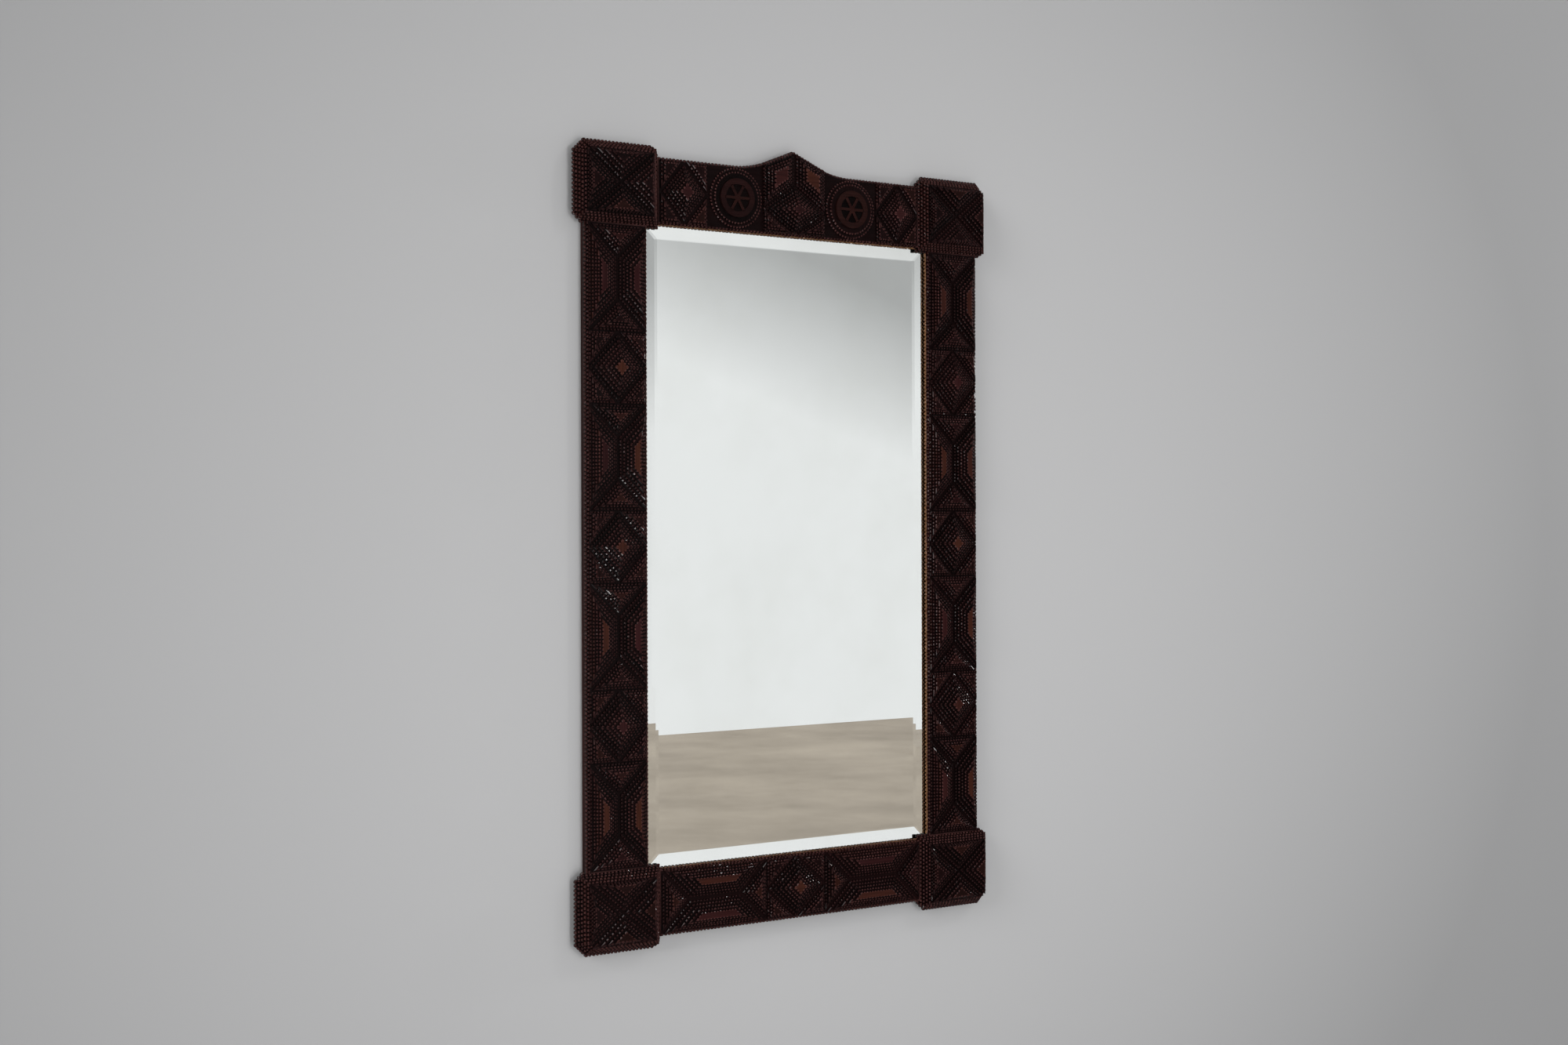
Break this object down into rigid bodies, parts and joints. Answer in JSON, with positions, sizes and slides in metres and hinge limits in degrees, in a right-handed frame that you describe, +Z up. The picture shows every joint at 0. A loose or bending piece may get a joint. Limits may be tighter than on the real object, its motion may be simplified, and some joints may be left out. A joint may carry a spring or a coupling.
{
  "type": "tramp art mirror frame",
  "caption": "Wall-hung mirror frame of stacked, notch-edged wood layers with stepped corner blocks, hourglass and diamond panels, a peaked crest and a bevelled plate.",
  "frame": {"origin": "on the wall plane at the back, behind the middle of the mirror opening", "axes": "+X to the right seen from the front, +Y back into the wall, +Z up"},
  "size_m": [0.736, 0.0424, 1.1805],
  "materials": {
    "shellacked_wood": "dark red-brown shellac",
    "carcass_wood": "dark stain",
    "pine": "aged, unfinished",
    "iron": "dull, darkened",
    "silvered_glass": "polished, bevelled and silvered at the back"
  },
  "bodies": {
    "root": {"left_stile_board": "carcass_wood", "right_stile_board": "carcass_wood", "top_rail_board": "carcass_wood", "bottom_rail_board": "carcass_wood", "corner_joint_nails": "iron", "lower_strip_left": "shellacked_wood", "lower_strip_right": "shellacked_wood", "lower_strip_top": "shellacked_wood", "lower_strip_bottom": "shellacked_wood", "upper_strip_left": "shellacked_wood", "upper_strip_right": "shellacked_wood", "upper_strip_top": "shellacked_wood", "upper_strip_bottom": "shellacked_wood", "left_hourglass_1": "shellacked_wood", "left_hourglass_2": "shellacked_wood", "left_hourglass_3": "shellacked_wood", "left_hourglass_4": "shellacked_wood", "right_hourglass_1": "shellacked_wood", "right_hourglass_2": "shellacked_wood", "right_hourglass_3": "shellacked_wood", "right_hourglass_4": "shellacked_wood", "left_diamond_1": "shellacked_wood", "left_diamond_2": "shellacked_wood", "left_diamond_3": "shellacked_wood", "right_diamond_1": "shellacked_wood", "right_diamond_2": "shellacked_wood", "right_diamond_3": "shellacked_wood", "bottom_hourglass_left": "shellacked_wood", "bottom_hourglass_right": "shellacked_wood", "bottom_diamond": "shellacked_wood", "crest_panel": "shellacked_wood", "top_wheel_left": "shellacked_wood", "top_wheel_right": "shellacked_wood", "top_diamond_left": "shellacked_wood", "top_diamond_right": "shellacked_wood", "corner_block_top_left": "shellacked_wood", "corner_block_top_right": "shellacked_wood", "corner_block_bottom_left": "shellacked_wood", "corner_block_bottom_right": "shellacked_wood", "corner_cross_top_left": "shellacked_wood", "corner_cross_top_right": "shellacked_wood", "corner_cross_bottom_left": "shellacked_wood", "corner_cross_bottom_right": "shellacked_wood", "mirror_plate": "silvered_glass", "back_plank_1": "pine", "back_plank_2": "pine", "back_plank_3": "pine", "back_plank_4": "pine", "back_plank_5": "pine", "back_panel_nails": "iron", "hanger_plate_left": "iron", "hanger_plate_right": "iron", "hanger_screws": "iron"}
  },
  "joints": []
}
